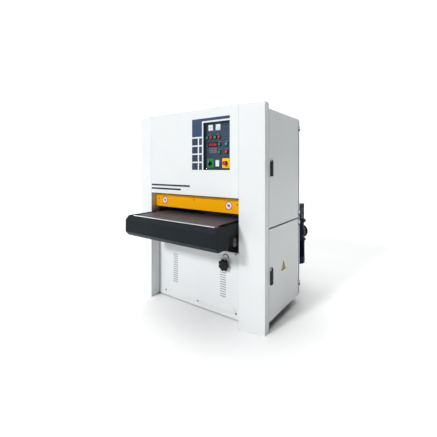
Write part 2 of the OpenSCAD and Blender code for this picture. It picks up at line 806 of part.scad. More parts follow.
module lift_jacks() {
    color("gray") for (x = [-jack_x, jack_x], y = [jack_front_y, jack_rear_y]) difference() {
        union() {
            bar_z(jack_r, x, front_y + y, jack_z, jack_z + jack_h);
            block([min(x, sign(x) * post_x), front_y + y - 30, jack_z + 10],
                  [max(x, sign(x) * post_x), front_y + y + 30, jack_z + 50]);
            bar_z(sprocket_r, x, front_y + y, jack_z - 22, jack_z + 1);
        }
        bar_z(screw_d / 2 + run_gap, x, front_y + y, jack_z - 30, jack_z + jack_h + 1);
    }
}

module lift_screws() {
    color("silver") for (x = [-jack_x, jack_x], y = [jack_front_y, jack_rear_y])
        bar_z(screw_d / 2, x, front_y + y, screw_bottom, screw_top - 0.01);
}

module lift_chain() {
    r = sprocket_r + 1;
    color("black") translate([0, 0, chain_z]) linear_extrude(8) difference() {
        chain_outline(r + 9);
        chain_outline(r);
    }
}
module chain_outline(r) {
    for (x = [-jack_x, jack_x], y = [jack_front_y, jack_rear_y]) translate([x, front_y + y]) circle(r);
    translate([-jack_x - r, front_y + jack_front_y]) square([2 * (jack_x + r), jack_rear_y - jack_front_y]);
    translate([-jack_x, front_y + jack_front_y - r]) square([2 * jack_x, jack_rear_y - jack_front_y + 2 * r]);
}

// The lift's gearmotor, which the handwheel also turns
module lift_gearmotor() {
    y0 = front_y + column_d + 22;
    color("midnightblue") difference() {
        union() {
            block([wheel_x - 50, y0, wheel_z - 36], [wheel_x + 50, y0 + 110, wheel_z + 46]);
            translate([wheel_x - 49, y0 + 60, wheel_z + 5]) rotate([0, -90, 0]) motor_body(58, 230, 16);
            // its foot on the front beam, and its sprocket inside the chain
            block([wheel_x - 45, y0 + 9, low_beam_z + 40], [wheel_x + 45, y0 + 25, wheel_z - 35]);
            bar_z(sprocket_r - 4, wheel_x, front_y + jack_front_y - 5, chain_z, wheel_z - 35);
        }
        bar_y(8 + run_gap, wheel_x, y0 - 1, y0 + 30, wheel_z);
    }
}

module lift_handwheel() {
    lobes = 7;
    r = handwheel_d / 2;
    color("black") {
        rotate_about_y(wheel_x, wheel_y, wheel_z) linear_extrude(24) difference() {
            circle(r - 6);
            for (i = [0:lobes - 1]) rotate(i * 360 / lobes) translate([r + 3, 0]) circle(r = 13);
        }
        for (i = [0:lobes - 1]) rotate_about_y(wheel_x, wheel_y, wheel_z)
            rotate((i + 0.5) * 360 / lobes) translate([r - 13, 0, 0]) cylinder(r = 13, h = 24);
        bar_y(19, wheel_x, wheel_y - 6, wheel_y + 34, wheel_z);
        bar_y(8, wheel_x, wheel_y + 10, front_y + column_d + 50, wheel_z);
    }
}

// ---- Sanding heads ----

module head_beams() {
    color("gray") for (y = [head_front_y, head_rear_y]) difference() {
        union() {
            yc = front_y + y;
            block([-post_x, yc - head_beam_w / 2, head_beam_z],
                  [bracket_x + bracket_t, yc + head_beam_w / 2, head_beam_z + head_beam_h]);
            block([-post_x, yc - 68, head_beam_z - 12],
                  [-post_x + 16, yc + 68, head_beam_z + head_beam_h + 60]);
            for (s = [-1, 1]) {
                x0 = s > 0 ? bracket_x : -bracket_x - bracket_t;
                block([x0, yc - 42, contact_z], [x0 + bracket_t, yc + 42, head_beam_z + 1]);
                bar_x(48, x0, x0 + bracket_t, yc, contact_z);
            }
            // the guide that the tension yoke's post slides in
            bar_z(rod_r + 16, 0, yc, head_beam_z + head_beam_h - 1, head_beam_z + head_beam_h + 60);
        }
        bar_x(shaft_d / 2 + run_gap, -bracket_x - bracket_t - 1, bracket_x + bracket_t + 1,
              front_y + y, contact_z);
        bar_z(rod_r + run_gap, 0, front_y + y, head_beam_z + 12, head_beam_z + head_beam_h + 61);
    }
}

// A sanding pulley with four V grooves
module pulley(x0, y, z, r, bore) {
    translate([x0, y, z]) rotate([0, 90, 0]) rotate_extrude() difference() {
        translate([bore, 0]) square([r + 4 - bore, pulley_w]);
        for (i = [0:3]) translate([r + 4.01, 8 + i * 14])
            polygon([[0, -5.5], [0, 5.5], [-11, 3.2], [-11, -3.2]]);
    }
}

module contact_roller(y) {
    yc = front_y + y;
    color("dimgray") {
        bar_x(contact_d / 2, -sanding_w / 2 - 4, sanding_w / 2 + 4, yc, contact_z);
        bar_x(shaft_d / 2, -pulley_x, bracket_x + bracket_t - 1, yc, contact_z);
        pulley(-pulley_x, yc, contact_z, head_pulley_d / 2, shaft_d / 2 - 1);
    }
}
module front_contact_roller() { contact_roller(head_front_y); }
module rear_contact_roller() { contact_roller(head_rear_y); }

module tension_roller(y) {
    color("silver") {
        bar_x(tension_d / 2, -sanding_w / 2 - 4, sanding_w / 2 + 4, front_y + y, tension_z);
        bar_x(shaft_r, -sanding_w / 2 - 38, sanding_w / 2 + 38, front_y + y, tension_z);
    }
}
module front_tension_roller() { tension_roller(head_front_y); }
module rear_tension_roller() { tension_roller(head_rear_y); }

module tension_yoke(y) {
    yc = front_y + y;
    x1 = sanding_w / 2 + 12;
    color("steelblue") difference() {
        union() {
            block([-x1 - yoke_t, yc - 30, yoke_z - 34], [x1 + yoke_t, yc + 30, yoke_z]);
            for (s = [-1, 1]) {
                x0 = s > 0 ? x1 : -x1 - yoke_t;
                block([x0, yc - 30, yoke_z - 1], [x0 + yoke_t, yc + 30, tension_z]);
                bar_x(30, x0, x0 + yoke_t, yc, tension_z);
            }
            bar_z(rod_r, 0, yc, head_beam_z + head_beam_h - 90, yoke_z - 33);
        }
        bar_x(shaft_r + run_gap, -x1 - yoke_t - 1, x1 + yoke_t + 1, yc, tension_z);
    }
}
module front_tension_yoke() { tension_yoke(head_front_y); }
module rear_tension_yoke() { tension_yoke(head_rear_y); }

module sanding_belt(y) {
    color("saddlebrown") translate([-sanding_w / 2, front_y + y, contact_z]) rotate([90, 0, 90])
        band(contact_d / 2 + 0.2, tension_d / 2 + 0.2, head_l, belt_skin - 0.2, sanding_w);
}
module front_sanding_belt() { sanding_belt(head_front_y); }
module rear_sanding_belt() { sanding_belt(head_rear_y); }

module pressure_roller(y) {
    color("black") {
        bar_x(pressure_d / 2, -sanding_w / 2, sanding_w / 2, front_y + y, pressure_z);
        bar_x(pressure_shaft_r, -post_x - 9, post_x + 9, front_y + y, pressure_z);
    }
}
module front_pressure_roller() { pressure_roller(pressure_front_y); }
module rear_pressure_roller() { pressure_roller(pressure_rear_y); }

// ---- Sanding drive ----

module main_motors() {
    color("midnightblue") for (y = [motor_front_y, motor_rear_y]) {
        yc = front_y + y;
        difference() {
            union() {
                translate([motor_x, yc, motor_z]) rotate([0, 90, 0]) motor_body(motor_d / 2, motor_l, 28);
                for (s = [-1, 1]) block([motor_x + 60, yc + s * 85 - 20, pad_t + rail_h + motor_bed_t + 0.01],
                                        [motor_x + motor_l - 120, yc + s * 85 + 20, motor_z - 60]);
                block([motor_x + 110, yc - 70, motor_z + motor_d / 2 - 24],
                      [motor_x + 230, yc + 70, motor_z + motor_d / 2 + 34]);
            }
            bar_x(19 + run_gap, motor_x - 1, motor_x + 100, yc, motor_z);
        }
    }
}

module motor_pulley(y) {
    color("gray") {
        pulley(-pulley_x, front_y + y, motor_z, motor_pulley_d / 2, 18);
        bar_x(19, -pulley_x, motor_x + 90, front_y + y, motor_z);
    }
}
module front_motor_pulley() { motor_pulley(motor_front_y); }
module rear_motor_pulley() { motor_pulley(motor_rear_y); }

module drive_belts() {
    color("black") for (y = [motor_front_y, motor_rear_y], i = [0:3])
        translate([-pulley_x + 4.8 + i * 14, front_y + y, motor_z]) rotate([90, 0, 90])
            band(motor_pulley_d / 2 - 5, head_pulley_d / 2 - 5, contact_z - motor_z, 8, 6.4);
}

// ---- Nodes ----

base_frame();
upper_frame();
left_column_cover();
right_column_cover();
upper_front_panel();
lower_front_panel();
top_cover();
dust_ducts();
rear_covers();
cable_gland();
left_side_covers();
control_panel();
panel_meters();
feed_guard();
cover_screws();
door_hinges();
main_motors();
drive_belts();
lift_jacks();
lift_gearmotor();
lift_chain();
head_beams();
right_upper_door();
right_lower_door();
upper_door_handle();
lower_door_handle();
table_frame();
table_cover();
conveyor_belt();
support_roller();
idler_roller();
drive_roller();
worm_gearbox();
speed_variator();
conveyor_motor();
variator_handwheel();
lift_screws();
lift_handwheel();
front_contact_roller();
rear_contact_roller();
front_tension_roller();
rear_tension_roller();
front_tension_yoke();
rear_tension_yoke();
front_sanding_belt();
rear_sanding_belt();
front_pressure_roller();
rear_pressure_roller();
front_motor_pulley();
rear_motor_pulley();
rotary_switch();
emergency_stop();
for (i = [0:len(button_names) - 1])
    push_button(i);
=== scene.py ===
import math
import bmesh
import bpy
from mathutils import Matrix, Vector


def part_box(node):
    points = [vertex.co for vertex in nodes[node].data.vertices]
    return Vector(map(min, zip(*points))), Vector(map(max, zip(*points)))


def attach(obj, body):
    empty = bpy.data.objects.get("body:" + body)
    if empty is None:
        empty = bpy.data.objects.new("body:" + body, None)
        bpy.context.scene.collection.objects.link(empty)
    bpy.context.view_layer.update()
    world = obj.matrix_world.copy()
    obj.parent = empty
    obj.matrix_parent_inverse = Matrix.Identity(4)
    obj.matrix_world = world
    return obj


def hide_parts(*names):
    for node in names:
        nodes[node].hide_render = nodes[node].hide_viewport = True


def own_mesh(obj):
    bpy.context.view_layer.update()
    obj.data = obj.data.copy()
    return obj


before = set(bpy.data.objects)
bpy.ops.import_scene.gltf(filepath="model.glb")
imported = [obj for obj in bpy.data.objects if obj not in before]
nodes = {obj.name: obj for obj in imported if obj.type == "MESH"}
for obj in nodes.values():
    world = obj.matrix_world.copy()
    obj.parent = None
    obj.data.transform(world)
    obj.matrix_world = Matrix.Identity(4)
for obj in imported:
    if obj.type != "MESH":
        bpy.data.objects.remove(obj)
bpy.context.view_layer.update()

scene = bpy.context.scene
X, Y, Z = Vector((1, 0, 0)), Vector((0, 1, 0)), Vector((0, 0, 1))


# ---- Materials: every one is procedural, on coordinates fixed to the piece ----

class Shader:
    """A material's node tree, with short calls for the nodes used here."""

    def __init__(self, name):
        self.material = bpy.data.materials.new(name)
        self.material.use_nodes = True
        self.tree = self.material.node_tree
        self.surface = self.tree.nodes["Principled BSDF"]
        self.place = self.add("ShaderNodeTexCoord").outputs["Object"]

    def add(self, kind, **settings):
        made = self.tree.nodes.new(kind)
        for key, value in settings.items():
            setattr(made, key, value)
        return made

    def link(self, a, b):
        self.tree.links.new(a, b)

    def stretched(self, scale):
        mapping = self.add("ShaderNodeMapping")
        mapping.inputs["Scale"].default_value = scale
        self.link(self.place, mapping.inputs["Vector"])
        return mapping.outputs["Vector"]

    def noise(self, scale, detail=3.0, rough=0.5, stretch=None):
        made = self.add("ShaderNodeTexNoise")
        made.inputs["Scale"].default_value = scale
        made.inputs["Detail"].default_value = detail
        made.inputs["Roughness"].default_value = rough
        self.link(self.stretched(stretch) if stretch else self.place, made.inputs["Vector"])
        return made.outputs["Fac"]

    def cells(self, scale, feature="F1", stretch=None, randomness=1.0):
        made = self.add("ShaderNodeTexVoronoi", feature=feature)
        made.inputs["Scale"].default_value = scale
        made.inputs["Randomness"].default_value = randomness
        self.link(self.stretched(stretch) if stretch else self.place, made.inputs["Vector"])
        return made.outputs["Distance"]

    def waves(self, scale, axis="X", kind="BANDS", distortion=0.0):
        made = self.add("ShaderNodeTexWave", wave_type=kind)
        if kind == "BANDS":
            made.bands_direction = axis
        else:
            made.rings_direction = axis
        made.inputs["Scale"].default_value = scale
        made.inputs["Distortion"].default_value = distortion
        self.link(self.place, made.inputs["Vector"])
        return made.outputs["Fac"]

    def ramp(self, source, low, high, a=0.0, b=1.0):
        """source's stretch from low to high becomes a to b, and is held at both ends."""
        made = self.add("ShaderNodeMapRange")
        for key, value in (("From Min", low), ("From Max", high), ("To Min", a), ("To Max", b)):
            made.inputs[key].default_value = value
        self.link(source, made.inputs["Value"])
        return made.outputs["Result"]

    def mix(self, factor, a, b):
        made = self.add("ShaderNodeMix", data_type="RGBA")
        for socket, value in ((made.inputs[6], a), (made.inputs[7], b)):
            if isinstance(value, tuple):
                socket.default_value = (*value, 1.0)
            else:
                self.link(value, socket)
        self.link(factor, made.inputs["Factor"])
        return made.outputs[2]

    def math(self, operation, a, b):
        made = self.add("ShaderNodeMath", operation=operation)
        for socket, value in ((made.inputs[0], a), (made.inputs[1], b)):
            if isinstance(value, (int, float)):
                socket.default_value = value
            else:
                self.link(value, socket)
        return made.outputs["Value"]

    def colour(self, source):
        self.link(source, self.surface.inputs["Base Color"])

    def rough(self, source):
        self.link(source, self.surface.inputs["Roughness"])

    def bump(self, height, strength, depth=0.001):
        made = self.add("ShaderNodeBump")
        made.inputs["Strength"].default_value = strength
        made.inputs["Distance"].default_value = depth
        self.link(height, made.inputs["Height"])
        previous = self.surface.inputs["Normal"].links
        if previous:
            self.link(previous[0].from_socket, made.inputs["Normal"])
        self.link(made.outputs["Normal"], self.surface.inputs["Normal"])

    def fixed(self, **values):
        for key, value in values.items():
            self.surface.inputs[key.replace("_", " ")].default_value = value


def shade(colour, factor):
    return tuple(min(1.0, c * factor) for c in colour)


def paint(name, colour, gloss=0.38, peel=0.05, grime=0.93, wear=0.0, coat=0.2, shine=0.5):
    """Sprayed enamel: orange peel, slow drifts in tone and gloss, and scuffs where wear is above 0."""
    s = Shader(name)
    drift = s.noise(2.3, 4.0, 0.6)
    tone = s.mix(s.ramp(drift, 0.35, 0.7), colour, shade(colour, grime))
    speck = s.ramp(s.noise(310.0, 2.0, 0.7), 0.66, 0.78)
    tone = s.mix(s.math("MULTIPLY", speck, 0.35), tone, shade(colour, 0.8))
    if wear:
        scuff = s.math("MULTIPLY", s.ramp(s.noise(14.0, 8.0, 0.75), 0.62, 0.7),
                       s.ramp(s.noise(260.0, 4.0, 0.7, (1.0, 1.0, 0.12)), 0.5, 0.62))
        tone = s.mix(s.math("MULTIPLY", scuff, wear), tone, shade(colour, 1.6 if max(colour) < 0.3 else 0.72))
    s.colour(tone)
    s.rough(s.ramp(s.noise(26.0, 5.0, 0.6), 0.3, 0.7, gloss - 0.05, gloss + 0.07))
    s.bump(s.noise(820.0, 2.0, 0.5), peel, 0.0006)
    s.bump(s.noise(9.0, 2.0, 0.4), 0.02, 0.004)
    s.fixed(Coat_Weight=coat, Coat_Roughness=0.18, Specular_IOR_Level=shine)
    return s.material


def metal(name, colour, rough=0.25, streak=(1.0, 1.0, 1.0), marks=0.12, depth=0.1):
    """Machined or rolled metal: fine tool marks along a direction, with stains and small scratches."""
    s = Shader(name)
    lines = s.noise(140.0, 5.0, 0.75, streak)
    stain = s.noise(11.0, 5.0, 0.65)
    s.colour(s.mix(s.ramp(stain, 0.4, 0.75), colour, shade(colour, 1 - 2 * marks)))
    tool_marks = s.ramp(lines, 0.3, 0.7, rough - 0.07, rough + 0.08)
    s.rough(s.math("ADD", tool_marks, s.ramp(stain, 0.5, 0.8, 0.0, 0.1)))
    s.bump(lines, depth, 0.0003)
    s.fixed(Metallic=1.0)
    return s.material


def plastic(name, colour, rough=0.4, grain=0.06, scale=900.0, glow=0.0, shine=0.3):
    """Moulded plastic with a fine grain, rubbed smoother in patches."""
    s = Shader(name)
    rub = s.noise(38.0, 4.0, 0.6)
    s.colour(s.mix(s.ramp(rub, 0.4, 0.7), colour, shade(colour, 0.86)))
    s.rough(s.ramp(rub, 0.3, 0.7, rough - 0.06, rough + 0.08))
    s.bump(s.noise(scale, 3.0, 0.6), grain, 0.0003)
    s.fixed(Specular_IOR_Level=shine)
    # glow makes the moulding shine by itself: the lit display segments' own light, and painted light on the dial
    # card, which has no lamp
    if glow:
        s.surface.inputs["Emission Color"].default_value = (*colour, 1.0)
        s.fixed(Emission_Strength=glow)
    return s.material


def cast(name, colour):
    """Sand-cast iron under thin paint: a pitted, uneven skin."""
    s = Shader(name)
    pits = s.cells(420.0)
    s.colour(s.mix(s.ramp(s.noise(34.0, 6.0, 0.7), 0.35, 0.7), colour, shade(colour, 0.7)))
    s.rough(s.ramp(s.noise(120.0), 0.3, 0.7, 0.48, 0.66))
    s.bump(pits, 0.25, 0.0006)
    s.bump(s.noise(60.0, 5.0, 0.6), 0.2, 0.001)
    s.fixed(Metallic=0.25)
    return s.material


def zinc(name):
    """Galvanised sheet with its spangle."""
    s = Shader(name)
    spangle = s.add("ShaderNodeTexVoronoi")
    spangle.inputs["Scale"].default_value = 60.0
    s.link(s.place, spangle.inputs["Vector"])
    facets = s.ramp(spangle.outputs["Color"], 0.0, 1.0)
    s.colour(s.mix(facets, (0.5, 0.52, 0.54), (0.68, 0.7, 0.72)))
    s.rough(s.ramp(facets, 0.0, 1.0, 0.3, 0.46))
    s.bump(s.noise(300.0, 3.0), 0.06, 0.0004)
    s.fixed(Metallic=0.9)
    return s.material


def rubber(name, colour, rough=0.7, spiral=0.0):
    """Ground rubber, with the spiral groove of a contact roller where spiral is above 0."""
    s = Shader(name)
    dust = s.ramp(s.noise(19.0, 7.0, 0.7), 0.45, 0.75)
    s.colour(s.mix(s.math("MULTIPLY", dust, 0.5), colour, shade(colour, 2.0)))
    s.rough(s.ramp(s.noise(70.0), 0.3, 0.7, rough - 0.08, rough + 0.1))
    if spiral:
        s.bump(s.ramp(s.waves(spiral, "X"), 0.55, 0.7), 0.7, 0.003)
    s.bump(s.noise(700.0, 3.0, 0.6), 0.12, 0.0004)
    return s.material


def belt_cover(name):
    """The feed belt's rough-top rubber: small pips in rows, paler on their tops, with wood dust between."""
    s = Shader(name)
    pitch = 145.0
    pips = s.cells(pitch, randomness=0.12)
    wear = s.noise(7.0, 6.0, 0.65, (1.0, 0.35, 1.0))
    top = s.ramp(pips, 0.1, 0.42, 1.0, 0.0)
    base = s.mix(s.ramp(wear, 0.35, 0.7), (0.054, 0.053, 0.068), (0.084, 0.08, 0.096))
    worn = s.mix(s.math("MULTIPLY", top, s.ramp(wear, 0.3, 0.7, 0.35, 0.9)), base, (0.165, 0.158, 0.182))
    s.colour(s.mix(s.ramp(s.noise(520.0, 4.0, 0.7), 0.62, 0.76, 0.0, 0.3), worn, (0.36, 0.31, 0.26)))
    s.fixed(Specular_IOR_Level=0.25)
    s.rough(s.ramp(wear, 0.3, 0.7, 0.42, 0.6))
    s.bump(top, 0.8, 0.0012)
    s.bump(s.noise(45.0, 3.0), 0.15, 0.001)
    return s.material


def abrasive(name):
    """Coated cloth belt: packed grit, brown resin, and streaks where boards have loaded it with dust."""
    s = Shader(name)
    grit = s.cells(1500.0)
    streaks = s.noise(26.0, 5.0, 0.6, (1.0, 0.04, 0.04))
    resin = s.mix(s.ramp(grit, 0.1, 0.6), (0.34, 0.15, 0.07), (0.16, 0.06, 0.03))
    s.colour(s.mix(s.ramp(streaks, 0.52, 0.75, 0.0, 0.55), resin, (0.55, 0.42, 0.28)))
    s.rough(s.ramp(grit, 0.0, 0.7, 0.6, 0.85))
    s.bump(grit, 0.8, 0.0005)
    return s.material


def clear(name, tint=(0.9, 0.95, 0.97)):
    """A thin clear window, smeared a little."""
    s = Shader(name)
    s.colour(s.mix(s.ramp(s.noise(60.0, 5.0), 0.4, 0.7), tint, shade(tint, 0.96)))
    s.rough(s.ramp(s.noise(90.0, 4.0), 0.3, 0.7, 0.02, 0.08))
    s.fixed(Transmission_Weight=1.0, IOR=1.45)
    return s.material


white = paint("white_enamel", (0.72, 0.745, 0.755), 0.36, 0.05, 0.97, 0.0, 0.1, 0.4)
frame_grey = paint("frame_grey_enamel", (0.26, 0.28, 0.29), 0.45, 0.12, 0.85, 0.4)
charcoal = paint("charcoal_powder_coat", (0.008, 0.0135, 0.0165), 0.42, 0.22, 0.8, 0.3, 0.0, 0.1)
navy = paint("navy_enamel", (0.0035, 0.005, 0.02), 0.34, 0.1, 0.8, 0.3, 0.02, 0.09)
amber = paint("guard_amber_enamel", (0.94, 0.43, 0.0), 0.4, 0.06, 0.96, 0.1, 0.0, 0.06)
slate = paint("panel_slate_texture", (0.034, 0.056, 0.09), 0.5, 0.4, 0.8, 0.0, 0.0, 0.25)
# Darker than real black paint: painted shade, so the table frame seen through the cover's windows reads as the
# dark inside of the table
frame_black_with_painted_shade = paint("black_enamel_darkened_as_shade", (0.004, 0.004, 0.0045), 0.45, 0.12, 0.8, 0.3, 0.0, 0.08)
zinc_sheet = zinc("galvanised_sheet")
turned = metal("turned_steel", (0.56, 0.56, 0.57), 0.26, (6.0, 0.6, 0.6))
ground = metal("ground_aluminium", (0.72, 0.73, 0.74), 0.34, (5.0, 0.5, 0.5))
chrome = metal("hard_chrome", (0.86, 0.86, 0.88), 0.12, (4.0, 0.4, 0.4), 0.04, 0.04)
bright = metal("bright_plating", (0.8, 0.8, 0.82), 0.16, (1.0, 1.0, 1.0), 0.05, 0.04)
black_steel = metal("blackened_steel", (0.09, 0.09, 0.095), 0.42, (1.0, 1.0, 1.0), 0.15, 0.15)
iron = cast("painted_cast_iron", (0.12, 0.13, 0.135))
grooved_rubber = rubber("contact_roller_rubber", (0.035, 0.034, 0.034), 0.62, 9.0)
plain_rubber = rubber("roller_rubber", (0.03, 0.03, 0.031), 0.6)
v_rubber = rubber("v_belt_rubber", (0.02, 0.02, 0.02), 0.7)
feed_rubber = belt_cover("feed_belt_rough_top")
grit_cloth = abrasive("abrasive_cloth")
cloth_back = plastic("belt_cloth_back", (0.3, 0.2, 0.12), 0.75, 0.5, 1600.0, shine=0.1)
black = plastic("black_moulding", (0.008, 0.008, 0.009), 0.4, 0.12, shine=0.18)
soft_black = plastic("black_grip", (0.009, 0.009, 0.01), 0.5, 0.3, 420.0, shine=0.15)
pale = plastic("pale_moulding", (0.86, 0.88, 0.9), 0.34)
# The dial card glows though nothing lights it: painted light, so the card reads bright in the shaded recess
dial_card_painted_glow = plastic("dial_card", (0.9, 0.95, 1.0), 0.5, 0.03, glow=0.42)
red = plastic("red_moulding", (0.5, 0.03, 0.05), 0.25, 0.03, 700.0, 0.06)
green = plastic("green_moulding", (0.02, 0.24, 0.13), 0.25, 0.03, 700.0, 0.04)
teal = plastic("teal_moulding", (0.04, 0.32, 0.28), 0.25, 0.03, 700.0, 0.04)
yellow = plastic("yellow_plate", (0.95, 0.62, 0.01), 0.4, 0.05, shine=0.1)
sign_yellow = plastic("sign_yellow_vinyl", (0.6, 0.42, 0.03), 0.45, 0.05, shine=0.1)
green_plate = plastic("green_plate", (0.02, 0.24, 0.055), 0.4, 0.05, shine=0.15)
display_red = plastic("display_window", (0.2, 0.01, 0.015), 0.15, 0.02, 300.0)
digit_red = plastic("display_segments", (0.85, 0.05, 0.12), 0.3, 0.02, 300.0, 0.9)
key_grey = plastic("keypad_membrane", (0.05, 0.055, 0.08), 0.35, 0.15, 1200.0)
key_cap = plastic("keypad_keys", (0.13, 0.15, 0.21), 0.35, 0.1, 1200.0)
key_rose = plastic("keypad_end_keys", (0.3, 0.13, 0.17), 0.35, 0.1, 1200.0)
label_blue = plastic("label_strip", (0.2, 0.27, 0.38), 0.45, 0.05, 900.0)
line_blue = plastic("diagram_line", (0.08, 0.14, 0.25), 0.45, 0.05, 900.0)
vinyl_blue = plastic("slate_blue_vinyl", (0.040, 0.068, 0.135), 0.45, 0.08, 700.0, shine=0.2)
vinyl_dark = plastic("dark_vinyl", (0.026, 0.034, 0.055), 0.42, 0.08, 700.0, shine=0.2)
vinyl_square = plastic("dark_blue_vinyl", (0.032, 0.046, 0.088), 0.45, 0.08, 700.0, shine=0.2)
vinyl_red = plastic("red_vinyl", (0.62, 0.06, 0.04), 0.42, 0.05)
vinyl_white = plastic("white_vinyl", (0.83, 0.83, 0.8), 0.42, 0.05)
window = clear("clear_window")


# ---- Shapes ----

def place(obj, body, slot, *materials):
    """Gives a finished piece its material and the body it rides on. The slot argument is not used."""
    for m in materials:
        obj.data.materials.append(m)
    if obj.name not in scene.collection.objects:
        scene.collection.objects.link(obj)
    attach(obj, body)
    return obj


def from_bmesh(name, bm, body, slot, *materials, bevel=0.0, segments=2, angle=32):
    bmesh.ops.recalc_face_normals(bm, faces=bm.faces)
    mesh = bpy.data.meshes.new(name)
    bm.to_mesh(mesh)
    bm.free()
    obj = bpy.data.objects.new(name, mesh)
    place(obj, body, slot, *materials)
    soften(obj, bevel, segments, angle)
    return obj


def soften(obj, width, segments=2, angle=32):
    """Rounds the sharp edges of a piece by width, and smooths its round faces."""
    if width:
        weld = obj.modifiers.new("weld", "WELD")
        weld.merge_threshold = 2e-6
        bevel = obj.modifiers.new("bevel", "BEVEL")
        bevel.width, bevel.segments = width, segments
        bevel.limit_method, bevel.angle_limit = "ANGLE", math.radians(angle)
        bevel.use_clamp_overlap = True
    obj.data.polygons.foreach_set("use_smooth", [True] * len(obj.data.polygons))
    normals = obj.modifiers.new("normals", "WEIGHTED_NORMAL")
    normals.keep_sharp = True


def add_block(bm, low, high):
    """A block between two corners, added to bm."""
    low, high = Vector(low), Vector(high)
    size = high - low
    at = Matrix.Translation((low + high) / 2) @ Matrix.Diagonal((*size, 1.0))
    return bmesh.ops.create_cube(bm, size=1.0, matrix=at)["verts"]


def blocks(name, boxes, body, slot, *materials, bevel=0.001, segments=2):
    """Several rounded blocks as one piece."""
    bm = bmesh.new()
    for low, high in boxes:
        add_block(bm, low, high)
    return from_bmesh(name, bm, body, slot, *materials, bevel=bevel, segments=segments)


def turned_shape(bm, profile, centre, axis, steps=48):
    """Adds a surface of revolution to bm. profile holds (radius, distance along axis) pairs."""
    axis = Vector(axis).normalized()
    side = axis.orthogonal().normalized()
    across = axis.cross(side)
    rings = []
    for radius, along in profile:
        base = Vector(centre) + axis * along
        if radius < 1e-7:
            rings.append([bm.verts.new(base)])
            continue
        rings.append([bm.verts.new(base + radius * (math.cos(t) * side + math.sin(t) * across))
                      for t in (2 * math.pi * k / steps for k in range(steps))])
    for a, b in zip(rings, rings[1:]):
        for k in range(max(len(a), len(b))):
            corners = [a[k % len(a)], a[(k + 1) % len(a)], b[(k + 1) % len(b)], b[k % len(b)]]
            corners = list(dict.fromkeys(corners))
            if len(corners) > 2:
                bm.faces.new(corners)
    return rings


def lathe(name, profile, centre, axis, body, slot, *materials, steps=48, bevel=0.0):
    bm = bmesh.new()
    turned_shape(bm, profile, centre, axis, steps)
    return from_bmesh(name, bm, body, slot, *materials, bevel=bevel, angle=28)


def plate_outline(width, height, corner, steps=6):
    """A rounded rectangle's corners, round its centre."""
    points = []
    for k, (sx, sz) in enumerate(((1, 1), (-1, 1), (-1, -1), (1, -1))):
        for j in range(steps + 1):
            t = math.pi / 2 * (k + j / steps)
            points.append((sx * (width / 2 - corner) + corner * math.cos(t),
                           sz * (height / 2 - corner) + corner * math.sin(t)))
    return points


def flat_shape(bm, outline, centre, normal, depth, up=Z):
    """Adds a flat shape standing depth proud of centre along normal. outline is in its own two axes."""
    normal = Vector(normal).normalized()
    right = Vector(up).cross(normal).normalized()
    up = normal.cross(right)
    at = Vector(centre)
    back = [bm.verts.new(at + right * a + up * b) for a, b in outline]
    front = [bm.verts.new(v.co + normal * depth) for v in back]
    bm.faces.new(front)
    bm.faces.new(back[::-1])
    for k in range(len(back)):
        bm.faces.new((back[k], back[(k + 1) % len(back)], front[(k + 1) % len(front)], front[k]))


def plate(name, centre, width, height, depth, corner, normal, body, slot, *materials, bevel=0.0004, up=Z):
    bm = bmesh.new()
    flat_shape(bm, plate_outline(width, height, max(corner, 1e-4)), centre, normal, depth, up)
    return from_bmesh(name, bm, body, slot, *materials, bevel=bevel)


def screw_head(bm, at, normal, radius=0.008, height=0.004):
    """A domed screw head with a round socket, added to bm."""
    r, h = radius, height
    turned_shape(bm, [(r, 0.0), (r, h * 0.35), (r * 0.86, h * 0.8), (r * 0.55, h)], at, normal, 24)
    turned_shape(bm, [(r * 0.55, h), (r * 0.5, h * 0.25), (0, h * 0.25)], at, normal, 24)


def screws(name, spots, normal, body, slot, material, radius=0.008, height=0.004):
    bm = bmesh.new()
    for at in spots:
        screw_head(bm, at, normal, radius, height)
    return from_bmesh(name, bm, body, slot, material)


def hex_bolts(name, spots, normal, body, slot, material, radius=0.009, height=0.007):
    """Hexagon bolt heads on washers."""
    bm = bmesh.new()
    for at in spots:
        turned_shape(bm, [(0, 0), (radius * 1.35, 0), (radius * 1.35, 0.0018), (0, 0.0018)], at, normal, 28)
        head = [(0, 0.0018), (radius, 0.0018), (radius, height * 0.85), (radius * 0.88, height), (0, height)]
        turned_shape(bm, head, at, normal, 6)
    return from_bmesh(name, bm, body, slot, material, bevel=0.0003)


# ---- The CAD nodes that keep their own shape ----

def keep(names, material, width=0.0009, segments=2):
    for name in names.split():
        node = nodes[name]
        node.data.materials.clear()
        node.data.materials.append(material)
        soften(node, width, segments)


keep("left_column_cover right_column_cover upper_front_panel lower_front_panel top_cover rear_covers "
     "left_side_covers right_upper_door right_lower_door", white, 0.0009)
keep("upper_frame", frame_grey, 0.0025)
# The frames' near-black enamel is partly their own paint and partly painted shade behind the table cover's
# windows
keep("base_frame table_frame", frame_black_with_painted_shade, 0.0025)
keep("dust_ducts", zinc_sheet, 0.0008)
keep("table_cover", charcoal, 0.0012, 3)
keep("feed_guard", amber, 0.001)
keep("control_panel", slate, 0.0008)
keep("worm_gearbox speed_variator conveyor_motor lift_gearmotor main_motors variator_handwheel", navy, 0.0012)
keep("upper_door_handle lower_door_handle cable_gland", soft_black, 0.0012)
keep("door_hinges cover_screws lift_chain", black_steel, 0.0004)
keep("idler_roller drive_roller lift_screws", turned, 0.001)
keep("support_roller", chrome, 0.001)
keep("front_tension_roller rear_tension_roller front_tension_yoke rear_tension_yoke", ground, 0.0012)
keep("front_contact_roller rear_contact_roller", grooved_rubber, 0.0012)
keep("front_pressure_roller rear_pressure_roller", plain_rubber, 0.0012)
keep("front_motor_pulley rear_motor_pulley lift_jacks head_beams", iron, 0.0012)
keep("conveyor_belt", feed_rubber, 0.0012)
keep("drive_belts", v_rubber, 0.0006)
